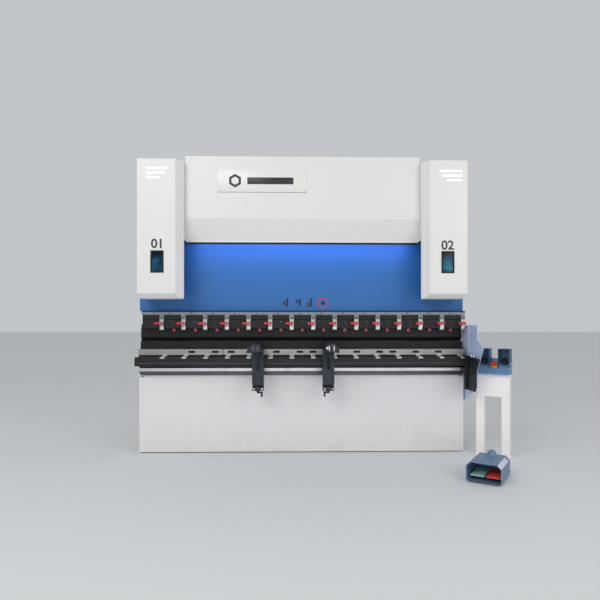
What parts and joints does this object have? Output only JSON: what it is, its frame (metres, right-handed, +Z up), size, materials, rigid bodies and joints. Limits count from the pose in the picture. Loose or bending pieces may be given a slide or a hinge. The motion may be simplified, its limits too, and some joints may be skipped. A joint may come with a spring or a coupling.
{
  "type": "press brake",
  "caption": "Hydraulic press brake: plate bed, ram with quick-clamped punches, front support arms, back gauge, covers, two-hand console and foot switch.",
  "frame": {"origin": "on the floor, in the middle of the four anchor holes", "axes": "+Z up, -Y towards the operator, +X along the bending line to the operator's right"},
  "size_m": [2.8112, 1.922, 2.225],
  "materials": {
    "frame_paint": "satin light grey paint",
    "bed_paint": "satin light grey paint",
    "black_steel": "black oxide",
    "ground_steel": "ground",
    "tool_steel": "black hardened tool steel",
    "black_anodised": "black anodised",
    "polished_steel": "polished",
    "cover_paint": "satin white powder coat",
    "window_glass": "dark tinted",
    "led_light": "lit diffuser",
    "cylinder_paint": "dark grey paint",
    "motor_paint": "blue-grey paint",
    "cast_metal": "cast",
    "valve_steel": "machined",
    "scale_aluminium": "anodised",
    "cabinet_paint": "satin light grey paint",
    "stand_paint": "satin white paint",
    "console_paint": "blue-grey paint",
    "hood_plastic": "navy moulding",
    "yellow_plastic": "moulded",
    "red_plastic": "moulded",
    "palm_plastic": "moulded",
    "pedal_paint": "blue-grey paint",
    "teal_pedal": "textured",
    "red_pedal": "textured",
    "ram_paint": "satin blue paint",
    "guard_paint": "pale blue-grey paint",
    "gauge_aluminium": "mill finish"
  },
  "bodies": {
    "base": {"bed_beam": "bed_paint", "button_hoods": "hood_plastic", "console_box": "console_paint", "console_stand": "stand_paint", "cover_windows": "window_glass", "cylinder_brackets": "frame_paint", "cylinders": "cylinder_paint", "die_holder": "ground_steel", "die_table": "black_steel", "electric_cabinet": "cabinet_paint", "estop_collar": "yellow_plastic", "front_rail": "black_anodised", "gauge_rails": "ground_steel", "guide_bar": "polished_steel", "hydraulic_pump": "cast_metal", "led_strip": "led_light", "left_cover": "cover_paint", "left_side_frame": "frame_paint", "linear_scales": "scale_aluminium", "lower_die": "tool_steel", "oil_tank": "frame_paint", "pedal_housing": "pedal_paint", "pump_motor": "motor_paint", "ram_guides": "polished_steel", "rear_tie_beam": "frame_paint", "right_cover": "cover_paint", "right_guard": "guard_paint", "right_side_frame": "frame_paint", "sole_plates": "frame_paint", "upper_cover": "cover_paint", "valve_blocks": "valve_steel"},
    "ram": {"ram_plate": "ram_paint", "ram_strip": "ground_steel", "punch_clamps": "black_steel", "clamp_wedges": "ground_steel", "clamp_screws": "red_plastic", "punch": "tool_steel", "cylinder_rods": "polished_steel"},
    "levers": {"clamp_levers": "red_plastic"},
    "carriage_1": {"arm_carriage_1": "black_anodised"},
    "arm_1": {"support_arm_1": "black_anodised"},
    "crank_1": {"arm_crank_1": "polished_steel"},
    "carriage_2": {"arm_carriage_2": "black_anodised"},
    "arm_2": {"support_arm_2": "black_anodised"},
    "crank_2": {"arm_crank_2": "polished_steel"},
    "parked": {"parked_carriage": "black_anodised"},
    "gauge": {"gauge_carriage": "ground_steel"},
    "gauge_lift": {"gauge_beam": "gauge_aluminium"},
    "finger_left": {"left_finger": "ground_steel"},
    "finger_right": {"right_finger": "ground_steel"},
    "screw_left": {"left_gauge_screw": "polished_steel"},
    "screw_right": {"right_gauge_screw": "polished_steel"},
    "door_left": {"left_rear_door": "cabinet_paint"},
    "door_right": {"right_rear_door": "cabinet_paint"},
    "cabinet_door": {"cabinet_door": "cabinet_paint"},
    "estop": {"estop_button": "red_plastic"},
    "palm_left": {"left_palm_button": "palm_plastic"},
    "palm_right": {"right_palm_button": "palm_plastic"},
    "pedal_left": {"left_pedal": "teal_pedal"},
    "pedal_right": {"right_pedal": "red_pedal"}
  },
  "joints": [
    {"name": "ram_lift", "type": "slide", "parent": "base", "child": "ram", "axis": [0, 0, 1], "range_m": [-0.005, 0.08]},
    {"name": "clamp_lever_turn", "type": "hinge", "parent": "ram", "child": "levers", "pos_m": [0, -0.572, 0.994], "axis": [-1, 0, 0], "range_deg": [0, 80]},
    {"name": "arm_1_slide", "type": "slide", "parent": "base", "child": "carriage_1", "axis": [1, 0, 0], "range_m": [-0.8, 0.2]},
    {"name": "arm_1_height", "type": "slide", "parent": "carriage_1", "child": "arm_1", "axis": [0, 0, 1], "range_m": [-0.015, 0.04]},
    {"name": "crank_1_turn", "type": "hinge", "parent": "carriage_1", "child": "crank_1", "pos_m": [-0.331, -0.6896, 0.5], "axis": [0, 0, 1], "range_deg": [-1090, 2890]},
    {"name": "arm_2_slide", "type": "slide", "parent": "base", "child": "carriage_2", "axis": [1, 0, 0], "range_m": [-0.2, 0.75]},
    {"name": "arm_2_height", "type": "slide", "parent": "carriage_2", "child": "arm_2", "axis": [0, 0, 1], "range_m": [-0.015, 0.04]},
    {"name": "crank_2_turn", "type": "hinge", "parent": "carriage_2", "child": "crank_2", "pos_m": [0.188, -0.6896, 0.5], "axis": [0, 0, 1], "range_deg": [-1090, 2890]},
    {"name": "parked_slide", "type": "slide", "parent": "base", "child": "parked", "axis": [1, 0, 0], "range_m": [-0.15, 0]},
    {"name": "gauge_depth", "type": "slide", "parent": "base", "child": "gauge", "axis": [0, 1, 0], "range_m": [-0.14, 0.2]},
    {"name": "gauge_height", "type": "slide", "parent": "gauge", "child": "gauge_lift", "axis": [0, 0, 1], "range_m": [-0.04, 0.06]},
    {"name": "finger_left_slide", "type": "slide", "parent": "gauge_lift", "child": "finger_left", "axis": [1, 0, 0], "range_m": [-0.45, 0.35]},
    {"name": "finger_right_slide", "type": "slide", "parent": "gauge_lift", "child": "finger_right", "axis": [1, 0, 0], "range_m": [-0.35, 0.45]},
    {"name": "screw_left_turn", "type": "hinge", "parent": "base", "child": "screw_left", "pos_m": [-0.945, 0, 0.655], "axis": [0, 1, 0], "range_deg": [-5050, 7210]},
    {"name": "screw_right_turn", "type": "hinge", "parent": "base", "child": "screw_right", "pos_m": [0.945, 0, 0.655], "axis": [0, 1, 0], "range_deg": [-5050, 7210]},
    {"name": "door_left_hinge", "type": "hinge", "parent": "base", "child": "door_left", "pos_m": [-1.045, 0.535, 0.3], "axis": [0, 0, 1], "range_deg": [0, 110]},
    {"name": "door_right_hinge", "type": "hinge", "parent": "base", "child": "door_right", "pos_m": [1.045, 0.535, 0.3], "axis": [0, 0, -1], "range_deg": [0, 110]},
    {"name": "cabinet_door_hinge", "type": "hinge", "parent": "base", "child": "cabinet_door", "pos_m": [1.248, 0.364, 1.2], "axis": [0, 0, 1], "range_deg": [0, 110]},
    {"name": "estop_press", "type": "slide", "parent": "base", "child": "estop", "axis": [0.396, 0.5655, -0.7235], "range_m": [0, 0.005], "stiffness_N_per_m": 800, "springref_m": -0.004},
    {"name": "palm_left_press", "type": "slide", "parent": "base", "child": "palm_left", "axis": [0.396, 0.5655, -0.7235], "range_m": [0, 0.005], "stiffness_N_per_m": 800, "springref_m": -0.004},
    {"name": "palm_right_press", "type": "slide", "parent": "base", "child": "palm_right", "axis": [0.396, 0.5655, -0.7235], "range_m": [0, 0.005], "stiffness_N_per_m": 800, "springref_m": -0.004},
    {"name": "pedal_left_tread", "type": "hinge", "parent": "base", "child": "pedal_left", "pos_m": [1.2154, -1.14549, 0.034], "axis": [0.8387, -0.5446, 0], "range_deg": [0, 6], "stiffness_Nm_per_rad": 6, "springref_deg": -22.92},
    {"name": "pedal_right_tread", "type": "hinge", "parent": "base", "child": "pedal_right", "pos_m": [1.2154, -1.14549, 0.034], "axis": [0.8387, -0.5446, 0], "range_deg": [0, 6], "stiffness_Nm_per_rad": 6, "springref_deg": -22.92}
  ],
  "couplings": [
    {"joint": "crank_1_turn", "follows": "arm_1_height", "rad_per_m": 1256.6},
    {"joint": "crank_2_turn", "follows": "arm_2_height", "rad_per_m": 1256.6},
    {"joint": "screw_left_turn", "follows": "gauge_depth", "rad_per_m": 628.32},
    {"joint": "screw_right_turn", "follows": "gauge_depth", "rad_per_m": 628.32}
  ]
}
